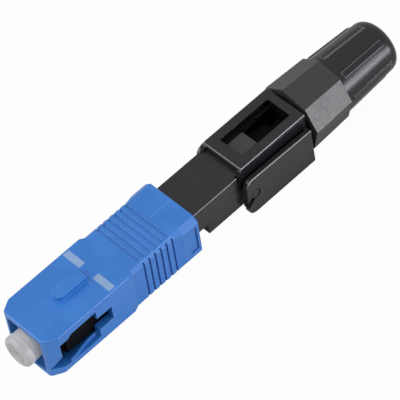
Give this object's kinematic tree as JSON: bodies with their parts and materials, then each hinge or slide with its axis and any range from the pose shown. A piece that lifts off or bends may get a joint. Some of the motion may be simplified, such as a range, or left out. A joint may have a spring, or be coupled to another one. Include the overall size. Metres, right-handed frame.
{
  "type": "fibre optic fast connector",
  "caption": "Field fitted optical plug with a push-pull coupling housing, side press lever, slide button and screwed cable nut.",
  "frame": {"origin": "centre of the coupling housing's front plane, on the ferrule axis", "axes": "+Y along the ferrule axis from the nose to the cable end, +Z to the key side, +X to the right seen from the cable end"},
  "size_m": [0.01, 0.0654, 0.01],
  "materials": {
    "blue_housing": "satin moulded nylon",
    "black_body": "fine satin moulding",
    "black_gloss": "smooth gloss moulding",
    "dark_grey": "matte moulding",
    "cap_clear": "milky translucent",
    "zirconia": "ground and polished",
    "nickel_brass": "turned",
    "spring_steel": "drawn wire and sheet",
    "splice_plastic": "dark precise moulding",
    "dark_steel": "dark oxide sheet",
    "soft_rubber": "matte",
    "silica": "clear"
  },
  "bodies": {
    "core": {"plug_frame": "black_body", "spring_seat": "nickel_brass", "main_body": "black_body", "body_floor": "black_body", "window_cover": "black_gloss", "splice_base": "splice_plastic", "splice_lid": "splice_plastic", "splice_clip": "dark_steel", "fibre_stub": "silica", "fibre_guide": "splice_plastic", "collet_upper": "dark_grey", "collet_lower": "dark_grey", "ferrule_spring": "spring_steel"},
    "housing": {"outer_housing": "blue_housing"},
    "cap": {"dust_cap": "cap_clear"},
    "ferrule": {"ferrule": "zirconia", "ferrule_flange": "nickel_brass"},
    "button": {"slide_button": "dark_grey"},
    "lever": {"press_lever": "black_body"},
    "gasket": {"cable_gasket": "soft_rubber"},
    "nut": {"tail_nut": "black_body", "tail_cap": "black_gloss"}
  },
  "joints": [
    {"name": "housing_float", "type": "slide", "parent": "core", "child": "housing", "axis": [0, 1, 0], "range_m": [0, 0.002]},
    {"name": "cap_pull", "type": "slide", "parent": "core", "child": "cap", "axis": [0, -1, 0], "range_m": [0, 0.012]},
    {"name": "ferrule_float", "type": "slide", "parent": "core", "child": "ferrule", "axis": [0, 1, 0], "range_m": [0, 0.0008], "stiffness_N_per_m": 500, "springref_m": -0.002, "deforming": ["ferrule_spring", "fibre_stub"]},
    {"name": "button_slide", "type": "slide", "parent": "core", "child": "button", "axis": [0, 1, 0], "range_m": [0, 0.005]},
    {"name": "lever_swing", "type": "hinge", "parent": "core", "child": "lever", "pos_m": [0, 0.0355, -0.00115], "axis": [-1, 0, 0], "range_deg": [0, 70]},
    {"name": "gasket_feed", "type": "slide", "parent": "core", "child": "gasket", "axis": [0, 1, 0], "range_m": [0, 0.004]},
    {"name": "nut_spin", "type": "hinge", "parent": "gasket", "child": "nut", "pos_m": [0, 0.05, 0], "axis": [0, 1, 0], "range_deg": [0, 1440]}
  ],
  "couplings": [
    {"joint": "nut_spin", "follows": "gasket_feed", "rad_per_m": 6283.2}
  ]
}
